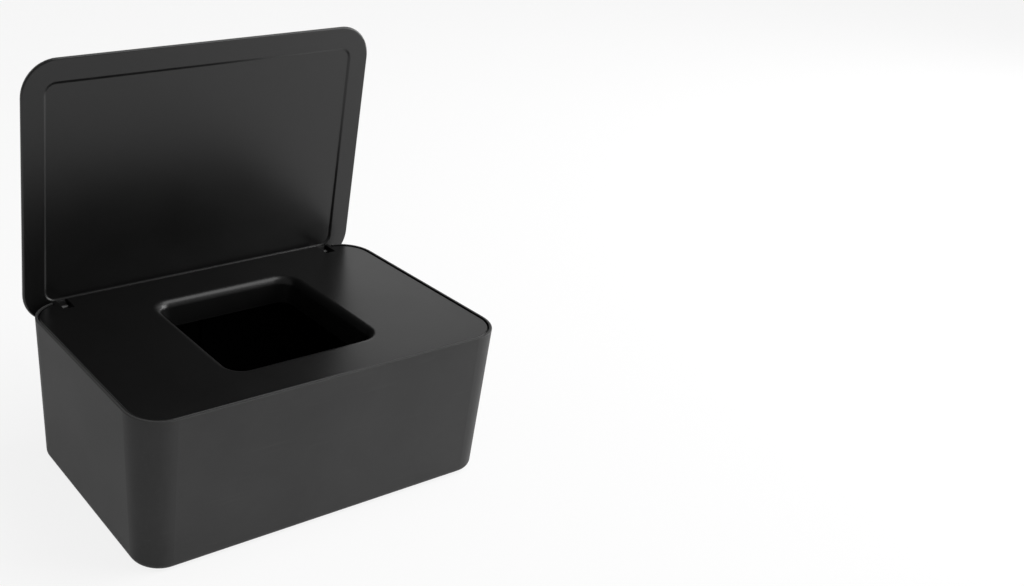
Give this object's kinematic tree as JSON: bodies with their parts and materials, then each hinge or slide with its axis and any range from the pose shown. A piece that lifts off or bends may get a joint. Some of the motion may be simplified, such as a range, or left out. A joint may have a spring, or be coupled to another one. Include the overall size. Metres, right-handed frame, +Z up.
{
  "type": "wipes dispenser",
  "caption": "Countertop wipes dispenser box with a lift-out inner cover, a rounded square dispensing opening and a back-hinged flip lid that stands open.",
  "frame": {"origin": "centre of the base, on the surface that the feet stand on", "axes": "+Z up, +Y towards the hinged back, +X along the length of the box to the right seen from the front"},
  "size_m": [0.19, 0.1308, 0.1947],
  "materials": {
    "box_plastic": "fine satin black moulded plastic",
    "cover_plastic": "smooth semi-gloss black moulded plastic",
    "lid_plastic": "fine satin black moulded plastic",
    "silicone": "soft dark grey silicone",
    "pin_steel": "plain drawn stainless wire"
  },
  "bodies": {
    "box": {"box": "box_plastic", "foot_front_left": "silicone", "foot_back_left": "silicone", "foot_front_right": "silicone", "foot_back_right": "silicone"},
    "cover": {"inner_cover": "cover_plastic", "cover_seal": "silicone", "hinge_pin_left": "pin_steel", "hinge_pin_right": "pin_steel"},
    "lid": {"lid": "lid_plastic"}
  },
  "joints": [
    {"name": "cover_lift", "type": "slide", "parent": "box", "child": "cover", "axis": [0, 0, 1], "range_m": [0, 0.09]},
    {"name": "lid_hinge", "type": "hinge", "parent": "cover", "child": "lid", "pos_m": [0, 0.06145, 0.0707], "axis": [1, 0, 0], "range_deg": [0, 85.7]}
  ]
}
